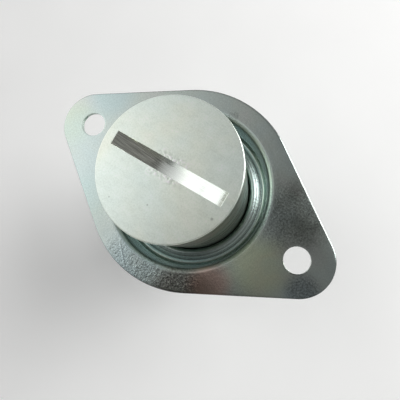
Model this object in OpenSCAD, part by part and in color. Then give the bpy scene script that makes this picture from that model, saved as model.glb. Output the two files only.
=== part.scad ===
// Self-ejecting quarter-turn fastener: a slotted stud in a flanged cup, pushed out by a spring.
// Origin: middle of the flange's underside. +X runs through the rivet holes, +Z out of the panel.
// It is drawn unlocked, with the stud ejected.

/* [Flange] */
// Distance between the two rivet holes
hole_spacing = 44; // [42:0.5:60]
// Diameter of each rivet hole
hole_d = 4.4; // [3:0.1:6]
// Width of the flange across its middle
flange_w = 36.2; // [34:0.2:44]
// Radius of each end of the flange
end_r = 6.1; // [4.5:0.1:9]
// Thickness of the pressed sheet
sheet_t = 0.6; // [0.4:0.1:1.2]

/* [Dish] */
// Depth of the dish, from the flange's top face to the bottom of its groove
dish_depth = 4.9; // [3.5:0.1:7]
// Slope of the dish's wall
wall_slope = 83; // [65:1:87]
// Slope of the bead between the groove and the bore
bead_slope = 10; // [6:1:35]
// Length of the bead's straight flank
bead_flank = 1.4; // [0.2:0.1:1.6]
// Radius inside the groove
groove_r = 0.5; // [0.3:0.1:0.9]
// Inside radius of the sheet's other bends
bend_r = 0.2; // [0.1:0.05:0.5]
// Radius inside the cup's bottom corner
floor_r = 0.6; // [0.3:0.1:1.2]

/* [Head] */
// Diameter of the head
head_d = 20.9; // [20:0.1:22]
// Height of the ejected head's face above the flange
head_rise = 14.1; // [10:0.1:16]
// Height of the locked head's face above the flange
locked_rise = 0.1; // [0:0.1:2]
// Thickness of the head between its face and the spring recess
crown_t = 9; // [7:0.5:11]
// Thickness of the head's skirt around the spring recess
skirt_t = 2; // [1.2:0.1:2.2]
// Chamfer around the face and the skirt's rims
edge_chamfer = 0.1; // [0.05:0.05:0.6]
// Length of the slot across the face
slot_len = 18; // [12:0.5:19]
// Width of the slot
slot_w = 2.1; // [1.4:0.1:3]
// Depth of the slot at its middle
slot_depth = 3.5; // [2:0.1:5]
// Angle from the line of the rivet holes to the slot
slot_angle = 3.6; // [-45:0.1:45]

/* [Shank] */
// Diameter of the shank
shank_d = 11; // [10:0.1:11.4]
// Length of the cam end below the retaining ring
cam_len = 9.5; // [8.6:0.1:14]
// Diameter of the bore in the cam end
cam_bore_d = 5.2; // [4.5:0.1:6]
// Width of the two spiral cam slots
cam_w = 2.8; // [2:0.1:3.2]
// Rise of the cam slots from the tip to their seats
cam_rise = 5.2; // [4:0.1:5.6]
// Turn of the cam slots around the shank
cam_turn = 80; // [60:1:90]
// Widening of the cam slots at their seats, on the radius
cam_seat = 0.2; // [0.1:0.05:0.4]
// Chamfer at the tip of the shank
tip_chamfer = 0.9; // [0.4:0.1:1.2]

/* [Retaining ring] */
// Thickness of the ring
ring_t = 1; // [0.8:0.1:1.4]
// Outside diameter of the ring
ring_d = 15; // [13.5:0.1:18]
// Depth of the ring's groove in the shank
ring_groove = 0.8; // [0.5:0.1:1.2]
// Opening of the ring
ring_mouth = 5; // [3:0.1:7]

/* [Spring] */
// Diameter of the spring wire
wire_d = 1.3; // [0.9:0.1:1.3]
// Number of turns of wire, closed end turns included
spring_turns = 7; // [5:1:7]
// Thickness of the thrust washer between the spring and the head
washer_t = 0.8; // [0.5:0.1:1.2]

/* [Fits] */
// Clearance between the head and the cup's bore, on the radius
head_gap = 0.15; // [0.1:0.05:0.3]
// Clearance between the shank and the holes around it, on the radius
shank_gap = 0.1; // [0.05:0.05:0.2]
// Clearance between flat faces that turn on each other
face_gap = 0.05; // [0.02:0.01:0.1]
// Clearance of the washer and the ring in their seats
seat_gap = 0.05; // [0.02:0.01:0.15]
// Length of the ejected skirt that stays in the straight bore
guide_len = 1.2; // [0.5:0.1:3]
// Room under the skirt when the head is pressed right in
bottom_gap = 0.4; // [0.2:0.1:2]

/* [Hidden] */
$fn = 96;
zinc = [0.74, 0.79, 0.76];
zinc_pale = [0.81, 0.85, 0.81];
spring_steel = [0.55, 0.57, 0.57];
dark_steel = [0.24, 0.24, 0.25];
// Overlap of joined solids and overshoot of cuts
lap = 0.4;

// Flange: the angle at which its straight sides leave the middle arc
flange_r = flange_w / 2;
side_angle = asin((flange_r - end_r) / (hole_spacing / 2));

// Dish: bend centres, worked out from the bore outwards, with heights above the bead's centre
bore_r = head_d / 2 + head_gap;
outer_bend = bend_r + sheet_t;
bead_x = bore_r + outer_bend;
bead_normal = 90 - bead_slope;
wall_normal = 90 + wall_slope;
groove_x = bead_x + (outer_bend + groove_r) * cos(bead_normal) + bead_flank * cos(bead_slope);
groove_up = (outer_bend + groove_r) * sin(bead_normal) - bead_flank * sin(bead_slope);
wall_len = (dish_depth - (groove_r + outer_bend) * (1 - cos(wall_slope))) / sin(wall_slope);
rim_x = groove_x - (groove_r + outer_bend) * cos(wall_normal) + wall_len * cos(wall_slope);
flange_top = sheet_t;
groove_z = flange_top - dish_depth + groove_r;
bead_z = groove_z - groove_up;
rim_z = flange_top - outer_bend;

// Heights of the stud, ejected, and of the cup's floor below it
face_z = flange_top + head_rise;
travel = head_rise - locked_rise;
skirt_z = bead_z - guide_len;
roof_z = face_z - crown_t;
floor_z = skirt_z - travel - bottom_gap;
under_z = floor_z - sheet_t;
ring_z = under_z - face_gap - ring_t;
tip_z = ring_z - cam_len;
shank_r = shank_d / 2;
ring_seat_r = shank_r - ring_groove;
skirt_r = head_d / 2 - skirt_t;
// Radius of the disc cutter that leaves the slot's length and depth
cutter_r = (pow(slot_len / 2, 2) + pow(slot_depth, 2)) / (2 * slot_depth);
cam_top = tip_z + cam_rise;
cam_bore_z = cam_top + cam_w;

// Spring: it stands on the cup's floor and ends under the thrust washer
washer_z = roof_z - face_gap - washer_t;
washer_r = skirt_r - seat_gap;
coil_r = (shank_r + skirt_r) / 2;
coil_low = floor_z + face_gap + wire_d / 2;
coil_high = washer_z - face_gap - wire_d / 2;
wire_sides = 8;
coil_steps = 24;
// Pitch of the closed end turns, and of the turns between them
end_pitch = wire_d * 1.06;
open_pitch = (coil_high - coil_low - 2 * end_pitch) / (spring_turns - 2);

function arc(x, z, r, from, to, steps = 12) =
    [for (i = [0 : steps]) [x + r * cos(from + (to - from) * i / steps), z + r * sin(from + (to - from) * i / steps)]];

// One face of the sheet from the shank hole to the flange; under is the distance from the sheet's upper face
function sheet_face(under) = concat(
    [[shank_r + shank_gap, floor_z - under]],
    arc(bore_r - floor_r, floor_z + floor_r, floor_r + under, -90, 0),
    arc(bead_x, bead_z, outer_bend - under, 180, bead_normal),
    arc(groove_x, groove_z, groove_r + under, bead_normal + 180, wall_normal + 180),
    arc(rim_x, rim_z, outer_bend - under, wall_normal, 90),
    [[rim_x + lap, flange_top - under]]
);

function reversed(list) = [for (i = [len(list) - 1 : -1 : 0]) list[i]];

module flange_outline() {
    tangent = [sin(side_angle), cos(side_angle)];
    middle = flange_r * tangent;
    end = [hole_spacing / 2, 0] + end_r * tangent;
    circle(flange_r);
    for (side = [-1, 1])
        translate([side * hole_spacing / 2, 0])
            circle(end_r);
    polygon([middle, end, [end.x, -end.y], [middle.x, -middle.y],
             -middle, -end, [-end.x, end.y], [-middle.x, middle.y]]);
}

module flanged_cup() {
    color(zinc) {
        difference() {
            linear_extrude(sheet_t)
                flange_outline();
            translate([0, 0, -lap])
                cylinder(h = sheet_t + 2 * lap, r = rim_x);
            for (side = [-1, 1])
                translate([side * hole_spacing / 2, 0, -lap])
                    cylinder(h = sheet_t + 2 * lap, d = hole_d);
        }
        rotate_extrude()
            polygon(concat(sheet_face(0), reversed(sheet_face(sheet_t))));
    }
}

// Half of the stud's turned section, from the face down to the bored tip
module stud_section() {
    head_r = head_d / 2;
    c = edge_chamfer;
    bore = cam_bore_d / 2;
    polygon([
        [0, face_z], [head_r - c, face_z], [head_r, face_z - c],
        [head_r, skirt_z + c], [head_r - c, skirt_z], [skirt_r + c, skirt_z], [skirt_r, skirt_z + c],
        [skirt_r, roof_z], [shank_r, roof_z],
        [shank_r, ring_z + ring_t + seat_gap], [ring_seat_r, ring_z + ring_t + seat_gap],
        [ring_seat_r, ring_z - seat_gap], [shank_r, ring_z - seat_gap],
        [shank_r, tip_z + tip_chamfer], [shank_r - tip_chamfer, tip_z],
        [bore, tip_z], [bore, cam_bore_z], [0, cam_bore_z]
    ]);
}

module driver_slot() {
    rotate([0, 0, slot_angle])
        translate([0, 0, face_z - slot_depth + cutter_r])
            rotate([90, 0, 0])
                cylinder(h = slot_w, r = cutter_r, center = true);
}

// Both cam slots: a spiral that opens at the tip, with a round seat at its end
module cam_slots() {
    across = shank_d + 2 * lap;
    lead = cam_turn / cam_rise;
    translate([0, 0, tip_z - lap])
        rotate([0, 0, -lead * lap])
            linear_extrude(cam_rise + lap, twist = -lead * (cam_rise + lap), slices = 16, segments = 24)
                square([across, cam_w], center = true);
    translate([0, 0, cam_top])
        rotate([0, 90, cam_turn])
            cylinder(h = across, r = cam_w / 2 + cam_seat, center = true);
}

module stud() {
    color(zinc_pale)
        difference() {
            rotate_extrude()
                stud_section();
            driver_slot();
            cam_slots();
        }
}

module thrust_washer() {
    color(zinc)
        translate([0, 0, washer_z])
            linear_extrude(washer_t)
                difference() {
                    circle(washer_r);
                    circle(shank_r + shank_gap);
                }
}

// Height of the wire's centre after a number of turns, with one closed turn at each end
function coil_z(turn) =
    turn < 1 ? coil_low + end_pitch * turn
    : turn > spring_turns - 1 ? coil_high - end_pitch * (spring_turns - turn)
    : coil_low + end_pitch + open_pitch * (turn - 1);

module ejector_spring() {
    steps = spring_turns * coil_steps;
    points = [
        for (i = [0 : steps], k = [0 : wire_sides - 1])
            let (turn = i / coil_steps, a = 360 * k / wire_sides, r = coil_r + wire_d / 2 * cos(a))
                [r * cos(360 * turn), r * sin(360 * turn), coil_z(turn) + wire_d / 2 * sin(a)]
    ];
    sides = [
        for (i = [0 : steps - 1], k = [0 : wire_sides - 1])
            let (next = (k + 1) % wire_sides, low = i * wire_sides, high = low + wire_sides)
                [low + k, low + next, high + next, high + k]
    ];
    start = [for (k = [wire_sides - 1 : -1 : 0]) k];
    end = [for (k = [0 : wire_sides - 1]) steps * wire_sides + k];
    color(spring_steel)
        polyhedron(points, concat(sides, [start, end]), convexity = 10);
}

module retaining_ring() {
    color(dark_steel)
        translate([0, 0, ring_z])
            linear_extrude(ring_t)
                difference() {
                    circle(d = ring_d);
                    circle(ring_seat_r + seat_gap);
                    translate([0, -ring_mouth / 2])
                        square([ring_d, ring_mouth]);
                }
}

flanged_cup();
stud();
thrust_washer();
ejector_spring();
retaining_ring();
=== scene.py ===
import math
import bmesh
import bpy
from mathutils import Matrix, Vector


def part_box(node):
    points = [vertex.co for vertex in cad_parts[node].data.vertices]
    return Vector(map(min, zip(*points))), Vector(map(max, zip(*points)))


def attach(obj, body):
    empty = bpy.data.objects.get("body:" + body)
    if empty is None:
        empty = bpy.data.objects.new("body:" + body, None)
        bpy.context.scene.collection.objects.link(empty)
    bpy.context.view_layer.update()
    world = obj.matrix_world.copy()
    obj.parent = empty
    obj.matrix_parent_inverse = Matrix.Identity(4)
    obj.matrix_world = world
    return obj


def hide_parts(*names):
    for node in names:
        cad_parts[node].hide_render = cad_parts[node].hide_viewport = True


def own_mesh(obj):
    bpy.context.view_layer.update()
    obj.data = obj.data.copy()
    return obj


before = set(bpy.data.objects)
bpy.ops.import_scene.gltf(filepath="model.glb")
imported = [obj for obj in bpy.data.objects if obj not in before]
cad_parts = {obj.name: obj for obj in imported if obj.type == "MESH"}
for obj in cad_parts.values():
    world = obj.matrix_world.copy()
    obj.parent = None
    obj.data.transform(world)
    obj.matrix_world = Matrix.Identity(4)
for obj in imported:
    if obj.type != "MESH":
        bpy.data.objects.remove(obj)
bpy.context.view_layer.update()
scene = bpy.context.scene
print("frame loaded")

# Shapes are drawn in millimetres and become metres in finishPiece
metresPerMm = 0.001
upAxis = (0, 0, 1)
sectionAxis = (0, -1, 0)
full = 2 * math.pi


# Lowest and highest point of a node, in millimetres
def lowOf(node):
    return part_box(node)[0][2] / metresPerMm


def highOf(node):
    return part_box(node)[1][2] / metresPerMm


def startAt(bm, point):
    return bmesh.ops.create_vert(bm, co=point)["vert"][0]


def lineTo(bm, vert, point):
    new = bmesh.ops.extrude_vert_indiv(bm, verts=[vert])["verts"][0]
    new.co = point
    return new


def arcAbout(bm, vert, centre, degrees, steps, axis=sectionAxis):
    made = bmesh.ops.spin(bm, geom=[vert], cent=centre, axis=axis, angle=math.radians(degrees), steps=steps)
    return [item for item in made["geom_last"] if isinstance(item, bmesh.types.BMVert)][0]


# A point of a section, at an angle around a bend's centre
def onBend(centre, radius, degrees):
    angle = math.radians(degrees)
    return (centre[0] + radius * math.cos(angle), 0, centre[1] + radius * math.sin(angle))


def bendTo(bm, vert, centre, radius, start, end, steps):
    vert = lineTo(bm, vert, onBend(centre, radius, start))
    return arcAbout(bm, vert, (centre[0], 0, centre[1]), end - start, steps)


# Turns the lines that have no faces yet into a round surface
def lathe(bm, steps, centre=(0, 0, 0)):
    lines = [v for v in bm.verts if not v.link_faces] + [e for e in bm.edges if not e.link_faces]
    bmesh.ops.spin(bm, geom=lines, cent=centre, axis=upAxis, angle=full, steps=steps, use_merge=True)
    bmesh.ops.remove_doubles(bm, verts=bm.verts[:], dist=0.0005)


def outlineFace(bm):
    bmesh.ops.remove_doubles(bm, verts=bm.verts[:], dist=0.0005)
    lines = [e for e in bm.edges if not e.link_faces]
    return bmesh.ops.contextual_create(bm, geom=lines)["faces"][0]


def raiseFace(bm, face, height):
    made = bmesh.ops.extrude_face_region(bm, geom=[face])["geom"]
    bmesh.ops.translate(bm, verts=[v for v in made if isinstance(v, bmesh.types.BMVert)], vec=(0, 0, height))


def roundEdges(bm, edges, radius, segments):
    bmesh.ops.bevel(bm, geom=edges, offset=radius, offset_type="OFFSET", segments=segments, profile=0.5,
                    affect="EDGES", material=-1, clamp_overlap=True)


def cutObject(bm, name):
    mesh = bpy.data.meshes.new(name)
    bmesh.ops.recalc_face_normals(bm, faces=bm.faces[:])
    bm.to_mesh(mesh)
    bm.free()
    made = bpy.data.objects.new(name, mesh)
    scene.collection.objects.link(made)
    return made


# Takes the cutters away from a blank and returns the result for further work
def cutAway(blank, cutters):
    for cutter in cutters:
        cut = blank.modifiers.new(cutter.name, "BOOLEAN")
        cut.object = cutter
        cut.operation = "DIFFERENCE"
        cut.solver = "EXACT"
    graph = bpy.context.evaluated_depsgraph_get()
    mesh = bpy.data.meshes.new_from_object(blank.evaluated_get(graph))
    bm = bmesh.new()
    bm.from_mesh(mesh)
    bpy.data.meshes.remove(mesh)
    for helper in [blank, *cutters]:
        bpy.data.meshes.remove(helper.data)
    return bm


def finishPiece(bm, name, materials, body, node, sharpAngle=32):
    bmesh.ops.recalc_face_normals(bm, faces=bm.faces[:])
    for face in bm.faces:
        face.smooth = True
    for edge in bm.edges:
        edge.smooth = edge.calc_face_angle(0) < math.radians(sharpAngle)
    bmesh.ops.scale(bm, verts=bm.verts[:], vec=(metresPerMm,) * 3)
    mesh = bpy.data.meshes.new(name)
    bm.to_mesh(mesh)
    bm.free()
    for material in materials:
        mesh.materials.append(material)
    piece = bpy.data.objects.new(name, mesh)
    scene.collection.objects.link(piece)
    shading = piece.modifiers.new("flat faces stay flat", "WEIGHTED_NORMAL")
    shading.mode = "FACE_AREA"
    shading.weight = 80
    shading.keep_sharp = True
    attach(piece, body)
    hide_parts(node)
    print("made", name, "with", len(mesh.polygons), "faces")
    return piece


# Shader helpers
def addNode(tree, kind, values=None, **settings):
    node = tree.nodes.new(kind)
    for key, value in settings.items():
        setattr(node, key, value)
    for key, value in (values or {}).items():
        if isinstance(value, bpy.types.NodeSocket):
            tree.links.new(value, node.inputs[key])
        else:
            node.inputs[key].default_value = value
    return node


def blendColours(tree, share, first, second, kind="MIX"):
    values = {0: share, 6: first, 7: second}
    return addNode(tree, "ShaderNodeMix", values, data_type="RGBA", blend_type=kind).outputs[2]


def tinted(tree, share, tone, tint):
    return blendColours(tree, share, tone, (*tint, 1), "MULTIPLY")


def remap(tree, value, low, high, toLow=0.0, toHigh=1.0):
    values = {"Value": value, "From Min": low, "From Max": high, "To Min": toLow, "To Max": toHigh}
    return addNode(tree, "ShaderNodeMapRange", values, interpolation_type="SMOOTHSTEP").outputs[0]


def calc(tree, kind, first, second=0.0):
    return addNode(tree, "ShaderNodeMath", {0: first, 1: second}, operation=kind).outputs[0]


def times(tree, product, *factors):
    for factor in factors:
        product = calc(tree, "MULTIPLY", product, factor)
    return product


# How far a value lies from a set place
def gap(tree, value, place):
    return calc(tree, "ABSOLUTE", calc(tree, "SUBTRACT", value, place))


def vectorCalc(tree, kind, first, second=(0, 0, 0)):
    return addNode(tree, "ShaderNodeVectorMath", {0: first, 1: second}, operation=kind).outputs[0]


# A length, a distance or a dot product
def measure(tree, kind, first, second=(0, 0, 0)):
    return addNode(tree, "ShaderNodeVectorMath", {0: first, 1: second}, operation=kind).outputs["Value"]


def noise(tree, vector, scale, detail=2.0, roughness=0.5, distortion=0.0):
    values = {"Vector": vector, "Scale": scale, "Detail": detail}
    values |= {"Roughness": roughness, "Distortion": distortion}
    return addNode(tree, "ShaderNodeTexNoise", values).outputs[0]


def ramp(tree, value, stops):
    made = addNode(tree, "ShaderNodeValToRGB", {0: value})
    points = made.color_ramp.elements
    for place, colour in stops[1:-1]:
        points.new(place)
    for point, (place, colour) in zip(points, stops):
        point.position = place
        point.color = (*colour, 1)
    return made.outputs[0]


def stretched(tree, vector, scale, turn=0.0):
    values = {"Vector": vector, "Rotation": (0, 0, math.radians(turn)), "Scale": scale}
    return addNode(tree, "ShaderNodeMapping", values).outputs[0]


def newGroup(name, inputs, outputs):
    group = bpy.data.node_groups.new(name, "ShaderNodeTree")
    for label, kind in inputs:
        group.interface.new_socket(label, in_out="INPUT", socket_type="NodeSocket" + kind)
    for label, kind in outputs:
        group.interface.new_socket(label, in_out="OUTPUT", socket_type="NodeSocket" + kind)
    return group, group.nodes.new("NodeGroupInput"), group.nodes.new("NodeGroupOutput")


def callGroup(tree, group, values):
    return addNode(tree, "ShaderNodeGroup", values, node_tree=group).outputs[0]


# A metal, with Object coordinates in millimetres
def newMaterial(name):
    material = bpy.data.materials.new(name)
    material.use_nodes = True
    tree = material.node_tree
    shader = tree.nodes["Principled BSDF"]
    shader.inputs["Metallic"].default_value = 1.0
    place = addNode(tree, "ShaderNodeTexCoord").outputs["Object"]
    inMm = stretched(tree, place, (1 / metresPerMm,) * 3)
    return material, tree, shader, inMm


def bumped(tree, shader, height, strength, distance):
    values = {"Height": height, "Strength": strength, "Distance": distance}
    made = addNode(tree, "ShaderNodeBump", values)
    tree.links.new(made.outputs[0], shader.inputs["Normal"])


# Passivation tints: bluish and greenish zinc with yellow and brown clouds
def makeTints():
    inputs = [("Vector", "Vector"), ("Strength", "Float"), ("Base", "Color")]
    group, source, result = newGroup("passivationTints", inputs, [("Color", "Color")])
    clouds = noise(group, source.outputs["Vector"], 0.075, 3.0, 0.55, 0.4)
    hues = [(0.3, (0.80, 1.0, 1.06)), (0.45, (0.88, 1.0, 0.97)), (0.55, (0.96, 1.0, 0.86)),
            (0.64, (1.06, 0.96, 0.88)), (0.75, (0.86, 0.97, 1.06))]
    hue = ramp(group, clouds, hues)
    clouded = blendColours(group, source.outputs["Strength"], source.outputs["Base"], hue, "MULTIPLY")
    group.links.new(clouded, result.inputs["Color"])
    return group


# Pebbled skin of drawn sheet, with finer grain in it
def makePeel():
    inputs = [("Vector", "Vector"), ("Size", "Float"), ("Grain", "Float")]
    group, source, result = newGroup("orangePeel", inputs, [("Height", "Float")])
    scale = calc(group, "DIVIDE", 1.0, source.outputs["Size"])
    pebbles = noise(group, source.outputs["Vector"], scale, 2.0, 0.6, 0.3)
    fine = noise(group, source.outputs["Vector"], times(group, scale, 5.0), 2.0, 0.6)
    grain = times(group, fine, source.outputs["Grain"])
    group.links.new(calc(group, "ADD", pebbles, grain), result.inputs["Height"])
    return group


# Small dark pits, a few to each square centimetre
def makeFlecks():
    inputs = [("Vector", "Vector"), ("Spacing", "Float"), ("Size", "Float")]
    group, source, result = newGroup("flecks", inputs, [("Fac", "Float")])
    scale = calc(group, "DIVIDE", 1.0, source.outputs["Spacing"])
    cells = addNode(group, "ShaderNodeTexVoronoi", {"Vector": source.outputs["Vector"], "Scale": scale})
    size = calc(group, "DIVIDE", source.outputs["Size"], source.outputs["Spacing"])
    values = {"Value": cells.outputs["Distance"], "From Min": size, "From Max": 0.0}
    inside = addNode(group, "ShaderNodeMapRange", values).outputs[0]
    split = addNode(group, "ShaderNodeSeparateColor", {0: cells.outputs["Color"]})
    chosen = remap(group, split.outputs[0], 0.55, 0.75)
    group.links.new(times(group, inside, chosen), result.inputs["Fac"])
    return group


# Fine lines left by a lathe: rings on a face, hoops on a side
def makeTurning():
    inputs = [("Vector", "Vector"), ("Pitch", "Float")]
    group, source, result = newGroup("turningLines", inputs, [("Lines", "Float")])
    x, y, z = addNode(group, "ShaderNodeSeparateXYZ", {0: source.outputs["Vector"]}).outputs
    across = calc(group, "SQRT", calc(group, "ADD", times(group, x, x), times(group, y, y)))
    along = addNode(group, "ShaderNodeCombineXYZ", {0: across, 1: z})
    lines = noise(group, along.outputs[0], calc(group, "DIVIDE", 1.0, source.outputs["Pitch"]), 3.0, 0.7)
    group.links.new(lines, result.inputs["Lines"])
    return group


tints = makeTints()
peel = makePeel()
flecks = makeFlecks()
turning = makeTurning()
print("shader groups made")


# Flanged cup: one pressed sheet, sizes in millimetres
flangedCup = {
    "holeGap": 44, "holeR": 2.2, "flangeR": 18.1, "endR": 6.1, "sheet": 0.6,
    "dishDepth": 4.9, "wallSlope": 83, "beadSlope": 10, "beadFlank": 1.4, "grooveR": 0.5,
    "outerBend": 0.8, "floorR": 0.6, "boreR": 10.6, "shankHoleR": 5.6,
    "rollR": 0.2, "holeRollR": 0.03, "burrR": 0.05, "border": 0.25, "steps": 144, "holeSteps": 64,
    # Finish of the whole sheet; the relief is in metres
    "tone": (0.60, 0.66, 0.64), "polish": (0.11, 0.15), "relief": 0.00005,
    # Clouds of the passivation that have a place: x, y, reach, tint; the last two only make the flange
    # darker beside the dish on the -y side and at the +x lug
    "tintSpots": [(12.5, -11.5, 5.0, (1.28, 0.84, 0.76)), (17.5, -4.5, 7.0, (1.08, 1.08, 0.86)),
                  (-22.5, 6.5, 6.5, (0.90, 1.0, 1.06)), (-14.0, -11.0, 6.0, (0.96, 1.0, 0.99)),
                  (-26.0, -2.0, 6.0, (1.0, 1.02, 0.95)), (0.0, -15.5, 7.0, (0.94, 1.0, 1.05)),
                  (8.5, -15.0, 5.5, (0.68, 0.64, 0.62)), (25.3, -3.8, 4.2, (0.74, 0.76, 0.81))],
    # The dish begins inside this radius, and its wall and the cup below at these heights
    "rimR": 14.9, "rimFade": (0.2, -0.6), "wallTop": 0.2, "wallFoot": -1.4, "cupTop": -5.5, "cupFade": 1.0,
    "dishTint": (0.94, 1.0, 1.0), "dishMatt": 0.09,
    "mattRing": {"radius": 14.35, "reach": (0.6, 0.3), "add": 0.16},
    # Rings in the dish, painted highlight and painted shade where its bends catch or lose the light: radius,
    # reach, share all around, tint; then where they show in full: x, y, reach
    "rings": [(13.4, 0.3, 0.2, (1.45, 1.45, 1.42)), (13.8, 0.3, 0.8, (0.62, 0.70, 0.70)),
              (14.3, 0.35, 0.0, (1.5, 1.5, 1.5))],
    "paintedBandAt": (6.0, -11.5, 14.0),
    "dieLine": {"radius": 12.65, "reach": (0.14, 0.03), "share": 0.6, "tone": (0.10, 0.12, 0.12)},
    "streaks": {"pitch": 0.3, "share": 0.8, "dark": (0.38, 0.22), "light": (0.58, 1.3)},
    "drawMarks": {"radius": 13, "stretch": 0.2, "perMm": 1.8, "height": 0.5},
    # The rolled edge, painted darker as shade: depth below the top, reach from the rim and the holes, then
    # places along the left aim
    "edgeDepth": (0.01, 0.07), "edgeFromRim": (0.3, 0.6), "edgeFromHole": (2.6, 2.9),
    "leftAim": (-0.82, -0.57, 0), "brightLeft": (14.0, 10.0), "paleRight": (-16.0, -20.0),
    "edgeShadeTint": (0.12, 0.12, 0.12), "edgeShadeTintRight": (0.35, 0.36, 0.35),
    "crease": {"across": (0.661, 0.752, 0), "along": (0.752, -0.661, 0), "offset": -13.97,
               "from": 6.3, "to": 11.2, "ends": 0.5, "reach": (0.25, 0.02), "height": 0.5},
    # Where the skin is pebbled most: x, y, reach, height, grain; then around the rim and all over
    "peelSpots": [(-3.0, -16.0, 5.5, 1.3, 0.35), (2.5, -15.8, 5.0, 1.6, 0.7), (8.0, -14.2, 5.0, 1.0, 0.9),
                  (17.5, 5.5, 8.5, 0.2, 0.8), (25.3, -3.6, 3.8, 0.6, 1.0), (-0.5, 14.7, 1.6, 0.9, 0.6)],
    "peelRim": (1.0, 0.2), "peelHeight": (0.18, 0.4), "grainShare": 0.13,
    "grainDark": (0.35, 0.34, 0.34), "grainLight": (1.1, 1.1, 1.1),
}


def nearSpot(tree, inMm, x, y, reach, strength=1.0, z=flangedCup["sheet"]):
    return remap(tree, measure(tree, "DISTANCE", inMm, (x, y, z)), reach, reach * 0.3, 0.0, strength)


# Where a point of the sheet lies, shared by its finishes
def sheetPlaces(tree, inMm):
    d = flangedCup
    x, y, z = addNode(tree, "ShaderNodeSeparateXYZ", {0: inMm}).outputs
    flat = vectorCalc(tree, "MULTIPLY", inMm, (1, 1, 0))
    across = measure(tree, "LENGTH", flat)
    inside = remap(tree, across, *[d["rimR"] + fade for fade in d["rimFade"]])
    dish = times(tree, inside, remap(tree, z, d["cupTop"] - d["cupFade"], d["cupTop"]))
    drawn = times(tree, inside, remap(tree, z, d["wallTop"], d["wallFoot"]))
    streaked = times(tree, drawn, dish, d["streaks"]["share"])
    around = calc(tree, "ARCTAN2", y, x)
    return {"inMm": inMm, "z": z, "flat": flat, "across": across, "around": around,
            "inside": inside, "dish": dish, "drawn": drawn, "streaked": streaked}


# Inside the rim the sheet is bluer, with rings of painted highlight and painted shade at the bends, lighter
# or darker, most on the lower side
def dishTone(tree, tone, at, dieLines):
    d = flangedCup
    tone = tinted(tree, at["dish"], tone, d["dishTint"])
    # The painted highlight and shade rings show in full on the lower side
    paintedBand = nearSpot(tree, at["inMm"], *d["paintedBandAt"])
    for radius, reach, share, tint in d["rings"]:
        onRing = remap(tree, gap(tree, at["across"], radius), reach, reach * 0.3)
        tone = tinted(tree, times(tree, onRing, calc(tree, "MAXIMUM", paintedBand, share)), tone, tint)
    line = d["dieLine"]
    onLine = remap(tree, gap(tree, at["across"], line["radius"]), *line["reach"])
    tone = blendColours(tree, times(tree, onLine, line["share"], at["drawn"]), tone, (*line["tone"], 1))
    stops = [(place, (light,) * 3) for place, light in (d["streaks"]["dark"], d["streaks"]["light"])]
    return blendColours(tree, at["streaked"], tone, ramp(tree, dieLines, stops), "MULTIPLY")


# Painted shade darkens the rolled edge, but not its bright left side, and less on its right
def paintEdgeShade(tree, tone, at):
    d = flangedCup
    fromHole = measure(tree, "DISTANCE", vectorCalc(tree, "ABSOLUTE", at["flat"]), (d["holeGap"] / 2, 0, 0))
    leftward = measure(tree, "DOT_PRODUCT", at["flat"], d["leftAim"])
    shadedEdge = times(tree, remap(tree, at["z"], *[d["sheet"] - depth for depth in d["edgeDepth"]]),
                    remap(tree, at["across"], *[d["rimR"] + reach for reach in d["edgeFromRim"]]),
                    remap(tree, fromHole, *d["edgeFromHole"]), remap(tree, leftward, *d["brightLeft"]))
    rightSide = remap(tree, leftward, *d["paleRight"])
    edge = blendColours(tree, rightSide, (*d["edgeShadeTint"], 1), (*d["edgeShadeTintRight"], 1))
    return blendColours(tree, shadedEdge, tone, edge, "MULTIPLY")


# Draw marks down into the dish, lines around it, and a crease from the rim to the edge where the peel begins
def sheetMarks(tree, at, dieLines):
    draw = flangedCup["drawMarks"]
    way = {0: times(tree, at["around"], draw["radius"]), 1: times(tree, at["across"], draw["stretch"])}
    along = addNode(tree, "ShaderNodeCombineXYZ", way).outputs[0]
    marks = times(tree, noise(tree, along, draw["perMm"], 3.0, 0.6), at["drawn"], draw["height"])
    marks = calc(tree, "ADD", marks, times(tree, dieLines, at["streaked"]))
    c = flangedCup["crease"]
    fromCrease = gap(tree, measure(tree, "DOT_PRODUCT", at["flat"], c["across"]), c["offset"])
    alongCrease = measure(tree, "DOT_PRODUCT", at["flat"], c["along"])
    crease = times(tree, remap(tree, fromCrease, *c["reach"], 0.0, c["height"]),
                   remap(tree, alongCrease, c["from"], c["from"] + c["ends"]),
                   remap(tree, alongCrease, c["to"], c["to"] - c["ends"]))
    return calc(tree, "ADD", marks, crease)


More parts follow.
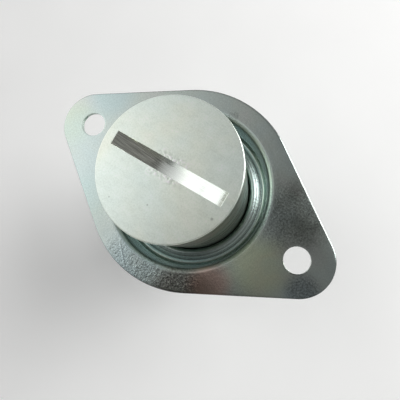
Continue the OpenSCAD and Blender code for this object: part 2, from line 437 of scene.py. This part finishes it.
def sheetMaterial():
    d = flangedCup
    material, tree, shader, inMm = newMaterial("zincSheet")
    at = sheetPlaces(tree, inMm)
    dieLines = callGroup(tree, turning, {"Vector": inMm, "Pitch": d["streaks"]["pitch"]})
    tone = callGroup(tree, tints, {"Vector": inMm, "Strength": 0.3, "Base": (*d["tone"], 1)})
    for x, y, reach, tint in d["tintSpots"]:
        tone = tinted(tree, nearSpot(tree, inMm, x, y, reach), tone, tint)
    tone = paintEdgeShade(tree, dishTone(tree, tone, at, dieLines), at)
    # The skin is pebbled in spots and around the rim
    pebbled = remap(tree, gap(tree, at["across"], d["rimR"]), *d["peelRim"], *d["peelHeight"])
    grainShare = d["grainShare"]
    for x, y, reach, height, share in d["peelSpots"]:
        pebbled = calc(tree, "MAXIMUM", pebbled, nearSpot(tree, inMm, x, y, reach, height))
        grainShare = calc(tree, "MAXIMUM", grainShare, nearSpot(tree, inMm, x, y, reach, share))
    grain = ramp(tree, noise(tree, inMm, 3.2, 3.0, 0.7), [(0.35, d["grainDark"]), (0.65, d["grainLight"])])
    tone = blendColours(tree, grainShare, tone, grain, "MULTIPLY")
    dark = callGroup(tree, flecks, {"Vector": inMm, "Spacing": 2.6, "Size": 0.14})
    tone = blendColours(tree, times(tree, dark, 0.6), tone, (0.12, 0.12, 0.1, 1))
    tree.links.new(tone, shader.inputs["Base Color"])
    # The dish is a little more matt than the flange, and its rim more so
    ring = d["mattRing"]
    onRing = times(tree, remap(tree, gap(tree, at["across"], ring["radius"]), *ring["reach"]), ring["add"])
    matt = calc(tree, "ADD", times(tree, at["inside"], d["dishMatt"]), onRing)
    polish = remap(tree, noise(tree, inMm, 0.35, 3.0), 0.3, 0.7, *d["polish"])
    tree.links.new(calc(tree, "ADD", polish, matt), shader.inputs["Roughness"])
    skin = callGroup(tree, peel, {"Vector": inMm, "Size": 0.45, "Grain": 0.3})
    height = calc(tree, "ADD", times(tree, skin, pebbled), sheetMarks(tree, at, dieLines))
    bumped(tree, shader, height, 0.6, d["relief"])
    return material


def makeFlangedCup():
    d = flangedCup
    half = d["holeGap"] / 2
    sheet = d["sheet"]
    beadNormal = 90 - d["beadSlope"]
    wallNormal = 90 + d["wallSlope"]
    slope = math.radians(d["wallSlope"])
    beadTilt = math.radians(d["beadSlope"])
    bends = d["outerBend"] + d["grooveR"]
    beadX = d["boreR"] + d["outerBend"]
    grooveX = beadX + bends * math.sin(beadTilt) + d["beadFlank"] * math.cos(beadTilt)
    grooveZ = sheet - d["dishDepth"] + d["grooveR"]
    beadZ = grooveZ - bends * math.cos(beadTilt) + d["beadFlank"] * math.sin(beadTilt)
    wallLength = (d["dishDepth"] - bends * (1 - math.cos(slope))) / math.sin(slope)
    rimX = grooveX + bends * math.sin(slope) + wallLength * math.cos(slope)
    rimZ = sheet - d["outerBend"]
    floorX = d["boreR"] - d["floorR"]
    floorZ = lowOf("flanged_cup") + sheet
    bm = bmesh.new()
    # Both faces of the drawn cup, from the shank hole out to the flange
    inner = startAt(bm, (d["shankHoleR"], 0, floorZ))
    for under in (0, sheet):
        convexR = d["outerBend"] - under
        hollowR = d["grooveR"] + under
        point = inner if under == 0 else lineTo(bm, inner, (d["shankHoleR"], 0, floorZ - under))
        point = bendTo(bm, point, (floorX, floorZ + d["floorR"]), d["floorR"] + under, -90, 0, 10)
        point = bendTo(bm, point, (beadX, beadZ), convexR, 180, beadNormal, 16)
        point = bendTo(bm, point, (grooveX, grooveZ), hollowR, beadNormal + 180, wallNormal + 180, 14)
        point = bendTo(bm, point, (rimX, rimZ), convexR, wallNormal, 90, 14)
    lathe(bm, d["steps"])
    # Flange plate, rolled over at its upper edge by the punch
    lean = math.asin((d["flangeR"] - d["endR"]) / half)
    point = startAt(bm, (0, d["flangeR"], 0))
    point = arcAbout(bm, point, (0, 0, 0), -math.degrees(lean), 14, upAxis)
    point = lineTo(bm, point, (half + d["endR"] * math.sin(lean), d["endR"] * math.cos(lean), 0))
    arcAbout(bm, point, (half, 0, 0), math.degrees(lean) - 90, 16, upAxis)
    for axis in ("X", "Y"):
        lines = [v for v in bm.verts if not v.link_faces] + [e for e in bm.edges if not e.link_faces]
        bmesh.ops.mirror(bm, geom=lines, matrix=Matrix.Identity(4), merge_dist=0.001, axis=axis)
    plate = outlineFace(bm)
    raiseFace(bm, plate, sheet)
    caps = [f for f in bm.faces if len(f.verts) > 8]
    upper = [e for f in caps for e in f.edges if f.calc_center_median().z > sheet / 2]
    lower = [e for f in caps for e in f.edges if f.calc_center_median().z < sheet / 2]
    roundEdges(bm, upper, d["rollR"], 6)
    roundEdges(bm, lower, d["burrR"], 1)
    bmesh.ops.delete(bm, geom=[f for f in bm.faces if len(f.verts) > 8], context="FACES_ONLY")
    for side in (-half, half):
        point = startAt(bm, (side + d["holeR"] + d["burrR"], 0, 0))
        point = lineTo(bm, point, (side + d["holeR"], 0, d["burrR"]))
        point = lineTo(bm, point, (side + d["holeR"], 0, sheet - d["holeRollR"]))
        arcAbout(bm, point, (side + d["holeR"] + d["holeRollR"], 0, sheet - d["holeRollR"]), -90, 4)
        lathe(bm, d["holeSteps"], (side, 0, 0))
    for level, facing in ((sheet, 1), (0, -1)):
        rims = [e for e in bm.edges if e.is_boundary]
        rims = [e for e in rims if all(abs(v.co.z - level) < 0.001 for v in e.verts)]
        filled = bmesh.ops.triangle_fill(bm, edges=rims, use_beauty=True, normal=(0, 0, facing))["geom"]
        # A narrow border keeps the shading of the bends off the flat
        flats = [item for item in filled if isinstance(item, bmesh.types.BMFace)]
        bmesh.ops.inset_region(bm, faces=flats, thickness=d["border"], use_even_offset=True,
                               use_boundary=True)
    return finishPiece(bm, "flangedCup", [sheetMaterial()], "housing", "flanged_cup")


makeFlangedCup()


# Stud: turned head and shank, milled slot and spiral cam
stud = {
    "headR": 10.45, "chamfer": 0.1, "crown": 9, "skirtR": 8.45, "skirtLift": 0.4, "travel": 14,
    "shankR": 5.5, "ringT": 1.0, "seatR": 4.7, "seatGap": 0.05,
    "tipChamfer": 0.9, "boreR": 2.6, "camW": 2.8, "camRise": 5.2, "camTurn": 80, "camSeat": 0.2,
    "slotLength": 18, "slotW": 2.1, "slotDepth": 3.5, "slotAngle": 3.6, "overshoot": 0.4,
    "edgeR": 0.04, "steps": 160,
    # Finish of the face, the side and the slot
    "faceTone": (0.945, 1.0, 0.92), "sideTone": (0.42, 0.44, 0.40), "slotTone": (0.92, 0.96, 0.92),
    # Pits in the face: x, y, reach
    "pits": [(9.0, -2.4, 0.28), (0.7, -5.7, 0.18), (-4.5, -7.8, 0.14)], "pitTone": (0.25, 0.27, 0.24),
    # Bruises by screwdrivers: reach from the slot's edges, reach from its middle
    "bruise": {"fromEdge": (1.5, 0.1), "fromMiddle": (3.5, 1.0), "share": 0.8, "height": 9.0},
    "stain": (0.30, 0.245, 0.195), "usedHalf": (-1.0, -4.0), "usedTint": (1.0, 0.97, 0.91),
}


# A fine pattern that shows as darker and lighter metal
def shaded(tree, tone, pattern, low, high, share=1.0):
    shade = ramp(tree, pattern, [(0.3, (low,) * 3), (0.7, (high,) * 3)])
    return blendColours(tree, share, tone, shade, "MULTIPLY")


def faceMaterial():
    d = stud
    material, tree, shader, inMm = newMaterial("zincFace")
    tone = callGroup(tree, tints, {"Vector": inMm, "Strength": 0.3, "Base": (*d["faceTone"], 1)})
    streaks = noise(tree, stretched(tree, inMm, (0.25, 1.4, 1), 52), 1.6, 3.0, 0.6)
    grain = noise(tree, inMm, 4.5, 3.0, 0.7)
    tone = shaded(tree, shaded(tree, tone, streaks, 0.965, 1.025), grain, 0.89, 1.06)
    tone = shaded(tree, tone, noise(tree, inMm, 0.7, 4.0, 0.65), 0.95, 1.04)
    dark = callGroup(tree, flecks, {"Vector": inMm, "Spacing": 3.1, "Size": 0.16})
    for x, y, reach in d["pits"]:
        dark = calc(tree, "MAXIMUM", dark, nearSpot(tree, inMm, x, y, reach, z=highOf("stud")))
    tone = blendColours(tree, times(tree, dark, 0.5), tone, (*d["pitTone"], 1))
    tree.links.new(remap(tree, streaks, 0.3, 0.7, 0.285, 0.305), shader.inputs["Roughness"])
    # Screwdrivers have bruised the middle of the slot's edges
    bruise = d["bruise"]
    alongSlot = stretched(tree, inMm, (1, 1, 1), -d["slotAngle"])
    x, y, z = addNode(tree, "ShaderNodeSeparateXYZ", {0: alongSlot}).outputs
    fromEdge = gap(tree, calc(tree, "ABSOLUTE", y), d["slotW"] / 2)
    middle = remap(tree, calc(tree, "ABSOLUTE", x), *bruise["fromMiddle"])
    bruised = times(tree, remap(tree, fromEdge, *bruise["fromEdge"]), middle)
    dents = noise(tree, inMm, 2.6, 2.0)
    tone = shaded(tree, tone, dents, 0.7, 1.35, times(tree, bruised, bruise["share"]))
    tree.links.new(tone, shader.inputs["Base Color"])
    marks = times(tree, dents, bruised, bruise["height"])
    rings = callGroup(tree, turning, {"Vector": inMm, "Pitch": 0.12})
    height = calc(tree, "ADD", calc(tree, "ADD", times(tree, rings, 0.08), grain), marks)
    bumped(tree, shader, height, 0.3, 0.00002)
    return material


def sideMaterial():
    material, tree, shader, inMm = newMaterial("zincSide")
    tone = callGroup(tree, tints, {"Vector": inMm, "Strength": 0.5, "Base": (*stud["sideTone"], 1)})
    hoops = callGroup(tree, turning, {"Vector": inMm, "Pitch": 1.5})
    tone = shaded(tree, tone, hoops, 0.6, 1.4)
    stained = noise(tree, stretched(tree, inMm, (0.04, 0.04, 1.0)), 0.9, 3.0, 0.6)
    tone = blendColours(tree, remap(tree, stained, 0.42, 0.66, 0.0, 0.6), tone, (*stud["stain"], 1))
    tree.links.new(tone, shader.inputs["Base Color"])
    tree.links.new(remap(tree, hoops, 0.3, 0.7, 0.26, 0.38), shader.inputs["Roughness"])
    bumped(tree, shader, hoops, 0.35, 0.00003)
    return material


def slotMaterial():
    material, tree, shader, inMm = newMaterial("zincMilled")
    tone = callGroup(tree, tints, {"Vector": inMm, "Strength": 0.1, "Base": (*stud["slotTone"], 1)})
    lines = noise(tree, stretched(tree, inMm, (0.05, 1.0, 0.05), -stud["slotAngle"]), 7.0, 3.0, 0.6)
    # Its left half is scratched and stained by use
    x, y, z = addNode(tree, "ShaderNodeSeparateXYZ", {0: inMm}).outputs
    used = remap(tree, x, *stud["usedHalf"])
    scratched = tinted(tree, 1.0, shaded(tree, tone, lines, 0.6, 1.2), stud["usedTint"])
    tone = blendColours(tree, used, shaded(tree, tone, lines, 0.93, 1.06), scratched)
    tree.links.new(tone, shader.inputs["Base Color"])
    tree.links.new(remap(tree, lines, 0.3, 0.7, 0.1, 0.18), shader.inputs["Roughness"])
    bumped(tree, shader, lines, 0.05, 0.00002)
    return material


def makeStud():
    d = stud
    c = d["chamfer"]
    faceZ = highOf("stud")
    tipZ = lowOf("stud")
    ringZ = lowOf("retaining_ring")
    roofZ = faceZ - d["crown"]
    skirtZ = lowOf("flanged_cup") + flangedCup["sheet"] + d["skirtLift"] + d["travel"]
    ringTop = ringZ + d["ringT"] + d["seatGap"]
    ringLow = ringZ - d["seatGap"]
    camTop = tipZ + d["camRise"]
    section = [
        (d["headR"], faceZ - c), (d["headR"], skirtZ + c), (d["headR"] - c, skirtZ),
        (d["skirtR"] + c, skirtZ), (d["skirtR"], skirtZ + c), (d["skirtR"], roofZ),
        (d["shankR"], roofZ), (d["shankR"], ringTop), (d["seatR"], ringTop), (d["seatR"], ringLow),
        (d["shankR"], ringLow), (d["shankR"], tipZ + d["tipChamfer"]),
        (d["shankR"] - d["tipChamfer"], tipZ), (d["boreR"], tipZ), (d["boreR"], camTop + d["camW"]),
    ]
    bm = bmesh.new()
    point = startAt(bm, (d["headR"] - c, 0, faceZ))
    for x, z in section:
        point = lineTo(bm, point, (x, 0, z))
    lathe(bm, d["steps"])
    bmesh.ops.holes_fill(bm, edges=[e for e in bm.edges if e.is_boundary], sides=0)
    blank = cutObject(bm, "studBlank")

    # A disc cutter leaves the slot
    cutterR = ((d["slotLength"] / 2) ** 2 + d["slotDepth"] ** 2) / (2 * d["slotDepth"])
    slotTurn = Matrix.Rotation(math.radians(d["slotAngle"]), 4, "Z")
    bm = bmesh.new()
    lift = Matrix.Translation((0, 0, faceZ - d["slotDepth"] + cutterR))
    bmesh.ops.create_cone(bm, cap_ends=True, segments=256, radius1=cutterR, radius2=cutterR,
                          depth=d["slotW"], matrix=lift @ slotTurn @ Matrix.Rotation(math.pi / 2, 4, "X"))
    disc = cutObject(bm, "slotCutter")

    # A bar that turns as it rises leaves the two cam slots
    across = 2 * (d["shankR"] + d["overshoot"])
    lead = d["camTurn"] / d["camRise"]
    rise = d["camRise"] + d["overshoot"]
    bm = bmesh.new()
    low = Matrix.Translation((0, 0, tipZ - d["overshoot"]))
    turnBack = Matrix.Rotation(math.radians(-lead * d["overshoot"]), 4, "Z")
    bmesh.ops.create_grid(bm, x_segments=12, y_segments=2, size=1,
                          matrix=low @ turnBack @ Matrix.Diagonal((across / 2, d["camW"] / 2, 1, 1)))
    bmesh.ops.spin(bm, geom=bm.faces[:] + bm.edges[:] + bm.verts[:], cent=(0, 0, 0), axis=upAxis,
                   dvec=(0, 0, rise / 28), angle=math.radians(lead * rise), steps=28)
    bar = cutObject(bm, "camCutter")
    bm = bmesh.new()
    seatR = d["camW"] / 2 + d["camSeat"]
    seatTurn = Matrix.Translation((0, 0, camTop)) @ Matrix.Rotation(math.radians(d["camTurn"]), 4, "Z")
    bmesh.ops.create_cone(bm, cap_ends=True, segments=48, radius1=seatR, radius2=seatR, depth=across,
                          matrix=seatTurn @ Matrix.Rotation(math.pi / 2, 4, "Y"))
    seat = cutObject(bm, "seatCutter")
    bm = cutAway(blank, [disc, bar, seat])

    # Rounds every edge of the head, then sorts the faces by finish
    edges = [e for e in bm.edges if e.calc_face_angle(0) > 0.6 and e.is_convex]
    edges = [e for e in edges if min(v.co.z for v in e.verts) > skirtZ - 0.1]
    roundEdges(bm, edges, d["edgeR"], 2)
    back = slotTurn.inverted()
    for face in bm.faces:
        middle = back @ face.calc_center_median()
        below = faceZ - middle.z
        inSlot = abs(middle.y) < d["slotW"] / 2 + 0.001 and 0.03 < below < d["slotDepth"] + 0.1
        if inSlot and math.hypot(middle.x, middle.y) < d["headR"] - 1:
            face.material_index = 2
        elif below < c + 0.05:
            face.material_index = 0
        else:
            face.material_index = 1
    materials = [faceMaterial(), sideMaterial(), slotMaterial()]
    return finishPiece(bm, "stud", materials, "stud", "stud")


makeStud()


# Thrust washer between the spring and the head
thrustWasher = {"innerR": 5.6, "outerR": 8.4, "edgeR": 0.12, "steps": 96}


def washerMaterial():
    material, tree, shader, inMm = newMaterial("zincWasher")
    tone = callGroup(tree, tints, {"Vector": inMm, "Strength": 0.4, "Base": (0.64, 0.68, 0.66, 1)})
    tree.links.new(tone, shader.inputs["Base Color"])
    skin = callGroup(tree, peel, {"Vector": inMm, "Size": 0.3, "Grain": 0.4})
    tree.links.new(remap(tree, skin, 0.3, 0.9, 0.32, 0.44), shader.inputs["Roughness"])
    bumped(tree, shader, skin, 0.2, 0.00003)
    return material


def makeThrustWasher():
    d = thrustWasher
    e = d["edgeR"]
    low = lowOf("thrust_washer")
    high = highOf("thrust_washer")
    corners = [(d["innerR"] + e, high - e, 180), (d["outerR"] - e, high - e, 90),
               (d["outerR"] - e, low + e, 0), (d["innerR"] + e, low + e, -90)]
    bm = bmesh.new()
    point = startAt(bm, (d["innerR"], 0, low + e))
    for x, z, start in corners:
        point = bendTo(bm, point, (x, z), e, start, start - 90, 4)
    bmesh.ops.remove_doubles(bm, verts=bm.verts[:], dist=0.0005)
    lathe(bm, d["steps"])
    return finishPiece(bm, "thrustWasher", [washerMaterial()], "carriage", "thrust_washer")


makeThrustWasher()


# Ejector spring: round wire with a closed turn at each end
ejectorSpring = {"coilR": 6.975, "wireR": 0.65, "turns": 7, "endPitch": 1.378,
                 "wireSteps": 16, "turnSteps": 48}


def wireMaterial():
    material, tree, shader, inMm = newMaterial("springWire")
    drawn = noise(tree, inMm, 3.0, 4.0, 0.65)
    tones = [(0.3, (0.34, 0.35, 0.36)), (0.6, (0.50, 0.52, 0.53)), (0.8, (0.44, 0.42, 0.38))]
    tree.links.new(ramp(tree, drawn, tones), shader.inputs["Base Color"])
    tree.links.new(remap(tree, drawn, 0.3, 0.7, 0.22, 0.36), shader.inputs["Roughness"])
    skin = callGroup(tree, peel, {"Vector": inMm, "Size": 0.2, "Grain": 0.5})
    bumped(tree, shader, skin, 0.15, 0.00002)
    return material


def makeEjectorSpring():
    d = ejectorSpring
    low = lowOf("ejector_spring") + d["wireR"]
    high = highOf("ejector_spring") - d["wireR"]
    openPitch = (high - low - 2 * d["endPitch"]) / (d["turns"] - 2)
    bm = bmesh.new()
    start = Matrix.Translation((d["coilR"], 0, low)) @ Matrix.Rotation(math.pi / 2, 4, "X")
    bmesh.ops.create_circle(bm, cap_ends=False, segments=d["wireSteps"], radius=d["wireR"], matrix=start)
    ring = bm.verts[:] + bm.edges[:]
    for turns, pitch in ((1, d["endPitch"]), (d["turns"] - 2, openPitch), (1, d["endPitch"])):
        rise = (0, 0, pitch / d["turnSteps"])
        ring = bmesh.ops.spin(bm, geom=ring, cent=(0, 0, 0), axis=upAxis, dvec=rise,
                              angle=turns * full, steps=turns * d["turnSteps"])["geom_last"]
    bmesh.ops.holes_fill(bm, edges=[e for e in bm.edges if e.is_boundary], sides=0)
    spring = finishPiece(bm, "ejectorSpring", [wireMaterial()], "housing", "ejector_spring")
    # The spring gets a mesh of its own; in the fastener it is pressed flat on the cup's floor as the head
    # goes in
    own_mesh(spring)
    return spring


makeEjectorSpring()


# Retaining ring: an open snap ring in the shank's groove
retainingRing = {"innerR": 4.75, "outerR": 7.5, "thickness": 1.0, "mouth": 5, "edgeR": 0.12,
                 "outerSteps": 64, "innerSteps": 48}


def ringMaterial():
    material, tree, shader, inMm = newMaterial("darkSpringSteel")
    worn = noise(tree, inMm, 1.2, 4.0, 0.7)
    tones = [(0.35, (0.05, 0.05, 0.055)), (0.6, (0.10, 0.10, 0.11)), (0.78, (0.22, 0.20, 0.18))]
    tree.links.new(ramp(tree, worn, tones), shader.inputs["Base Color"])
    tree.links.new(remap(tree, worn, 0.3, 0.8, 0.5, 0.34), shader.inputs["Roughness"])
    skin = callGroup(tree, peel, {"Vector": inMm, "Size": 0.18, "Grain": 0.5})
    bumped(tree, shader, skin, 0.25, 0.00003)
    return material


def makeRetainingRing():
    d = retainingRing
    outer = math.asin(d["mouth"] / 2 / d["outerR"])
    inner = math.asin(d["mouth"] / 2 / d["innerR"])
    low = lowOf("retaining_ring")
    bm = bmesh.new()
    first = startAt(bm, (d["outerR"] * math.cos(outer), d["mouth"] / 2, low))
    point = arcAbout(bm, first, (0, 0, 0), 360 - 2 * math.degrees(outer), d["outerSteps"], upAxis)
    point = lineTo(bm, point, (d["innerR"] * math.cos(inner), -d["mouth"] / 2, low))
    point = arcAbout(bm, point, (0, 0, 0), 2 * math.degrees(inner) - 360, d["innerSteps"], upAxis)
    bmesh.ops.contextual_create(bm, geom=[point, first])
    raiseFace(bm, outlineFace(bm), d["thickness"])
    bmesh.ops.recalc_face_normals(bm, faces=bm.faces[:])
    roundEdges(bm, [e for e in bm.edges if e.calc_face_angle(0) > 0.8], d["edgeR"], 3)
    return finishPiece(bm, "retainingRing", [ringMaterial()], "stud", "retaining_ring")


makeRetainingRing()
print("pieces made")


# Floor, lights and camera; places in millimetres
studio = {
    "floorZ": lowOf("stud"), "floorSize": 3000, "floorTone": (0.93, 0.93, 0.92), "floorGlow": 0.1,
    "cameraAt": (16.0, -2.91, 58.74), "cameraRight": (0.8102, 0.5647, -0.1570),
    "cameraUp": (-0.5451, 0.8244, 0.1521), "lens": 31.05, "sensor": 36,
    # Name, azimuth, elevation, distance, width, height, radiance
    "softboxes": [("window", 57, 28, 450, 290, 330, 6.2), ("windowTop", 63, 66, 450, 90, 80, 5.0)],
    # The bright side of the room: azimuth and tilt of its two middles, then its fading by the cosine
    "brightAims": [(192, 45), (188, 74)], "brightness": 1.3,
    "fade": [(0.64, 0.14), (0.70, 0.18), (0.74, 0.26), (0.81, 0.35), (0.90, 0.53), (0.945, 0.71),
             (0.975, 0.93)],
    # Dark patches of the room above the camera: azimuth and tilt of the middle, inner and outer reach
    "shade": (0.055, 0.055, 0.052), "shades": [(-90, 22, 10, 19), (-122, 13.5, 1, 9), (75, 9.5, 1, 7)],
}


def makeFloor():
    bm = bmesh.new()
    bmesh.ops.create_grid(bm, x_segments=1, y_segments=1, size=studio["floorSize"] / 2,
                          matrix=Matrix.Translation((0, 0, studio["floorZ"])))
    bmesh.ops.scale(bm, verts=bm.verts[:], vec=(metresPerMm,) * 3)
    mesh = bpy.data.meshes.new("floor")
    bm.to_mesh(mesh)
    bm.free()
    material, tree, shader, inMm = newMaterial("floorPaper")
    shader.inputs["Metallic"].default_value = 0.0
    shader.inputs["Roughness"].default_value = 0.8
    shader.inputs["Emission Strength"].default_value = studio["floorGlow"]
    tone = studio["floorTone"]
    fibres = noise(tree, inMm, 0.06, 3.0)
    tones = [(0.3, [0.97 * v for v in tone]), (0.7, tone)]
    tree.links.new(ramp(tree, fibres, tones), shader.inputs["Base Color"])
    mesh.materials.append(material)
    floor = bpy.data.objects.new("floor", mesh)
    scene.collection.objects.link(floor)


def makeSoftbox(name, azimuth, elevation, distance, width, height, radiance):
    a, e = math.radians(azimuth), math.radians(elevation)
    away = Vector((math.cos(a) * math.cos(e), math.sin(a) * math.cos(e), math.sin(e)))
    lamp = bpy.data.lights.new(name, "AREA")
    lamp.shape = "RECTANGLE"
    lamp.size = width * metresPerMm
    lamp.size_y = height * metresPerMm
    lamp.energy = radiance * math.pi * lamp.size * lamp.size_y
    box = bpy.data.objects.new(name, lamp)
    box.location = away * distance * metresPerMm
    box.rotation_mode = "QUATERNION"
    box.rotation_quaternion = away.to_track_quat("Z", "Y")
    box.visible_camera = False
    scene.collection.objects.link(box)


# How far the view leans towards a direction given by its azimuth and tilt from upright
def dotWith(tree, aim, azimuth, tilt):
    a, t = math.radians(azimuth), math.radians(tilt)
    way = (math.sin(t) * math.cos(a), math.sin(t) * math.sin(a), math.cos(t))
    return measure(tree, "DOT_PRODUCT", aim, way)


def makeSky():
    world = bpy.data.worlds.new("studioSky")
    world.use_nodes = True
    tree = world.node_tree
    d = studio
    aim = addNode(tree, "ShaderNodeTexCoord").outputs["Object"]
    leans = [dotWith(tree, aim, azimuth, tilt) for azimuth, tilt in d["brightAims"]]
    nearest = calc(tree, "MAXIMUM", *leans)
    room = ramp(tree, nearest, [(place, (tone, tone, tone)) for place, tone in d["fade"]])
    for azimuth, tilt, inner, outer in d["shades"]:
        near = dotWith(tree, aim, azimuth, tilt)
        inside = remap(tree, near, math.cos(math.radians(outer)), math.cos(math.radians(inner)))
        room = blendColours(tree, inside, room, (*d["shade"], 1))
    tree.links.new(room, tree.nodes["Background"].inputs["Color"])
    tree.nodes["Background"].inputs["Strength"].default_value = d["brightness"]
    scene.world = world


def makeCamera():
    lens = bpy.data.cameras.new("camera")
    lens.lens = studio["lens"]
    lens.sensor_width = studio["sensor"]
    lens.clip_start = 0.002
    lens.clip_end = 20
    camera = bpy.data.objects.new("camera", lens)
    right = Vector(studio["cameraRight"]).normalized()
    back = right.cross(Vector(studio["cameraUp"])).normalized()
    turn = Matrix((right, back.cross(right), back)).transposed().to_4x4()
    camera.matrix_world = Matrix.Translation(Vector(studio["cameraAt"]) * metresPerMm) @ turn
    scene.collection.objects.link(camera)
    scene.camera = camera


makeFloor()
for softbox in studio["softboxes"]:
    makeSoftbox(*softbox)
makeSky()
makeCamera()
scene.view_settings.view_transform = "Standard"
scene.view_settings.look = "None"
print("studio made")
